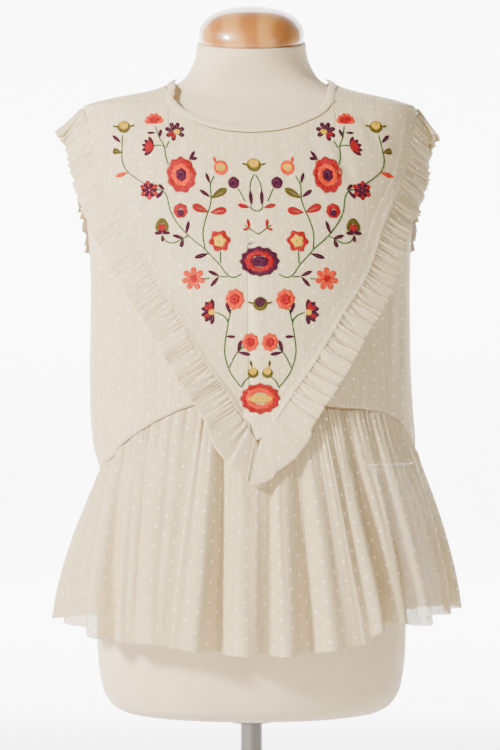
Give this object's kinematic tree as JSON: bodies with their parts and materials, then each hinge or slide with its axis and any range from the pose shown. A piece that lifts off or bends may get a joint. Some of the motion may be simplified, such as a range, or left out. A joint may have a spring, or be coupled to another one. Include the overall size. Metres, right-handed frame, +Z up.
{
  "type": "short sleeve blouse on a dress form",
  "caption": "Cream dotted blouse with a V yoke, ruffles as cap sleeves and a gathered peplum, on a limbless dress form with a wooden cap and a round stand.",
  "frame": {"origin": "middle of the underside of the stand's base", "axes": "+Z up, +X to the right as seen from the front, -Y towards the front of the blouse"},
  "size_m": [0.4471, 0.3277, 1.0195],
  "materials": {
    "blouse_cloth": "crinkled georgette with woven dots",
    "form_cloth": "plain jersey cover",
    "cap_wood": "clear varnish",
    "stand_metal": "brushed chrome",
    "button_shell": "shell gloss"
  },
  "bodies": {
    "root": {"front_yoke": "blouse_cloth", "side_front_left": "blouse_cloth", "side_front_right": "blouse_cloth", "back_left": "blouse_cloth", "back_right": "blouse_cloth", "neck_binding": "blouse_cloth", "ruffle_left": "blouse_cloth", "ruffle_right": "blouse_cloth", "peplum_front": "blouse_cloth", "peplum_back": "blouse_cloth", "back_button": "button_shell", "button_loop": "blouse_cloth", "form_torso": "form_cloth", "neck_cap": "cap_wood", "pole_collar": "stand_metal", "pole": "stand_metal", "base": "stand_metal"}
  },
  "joints": []
}
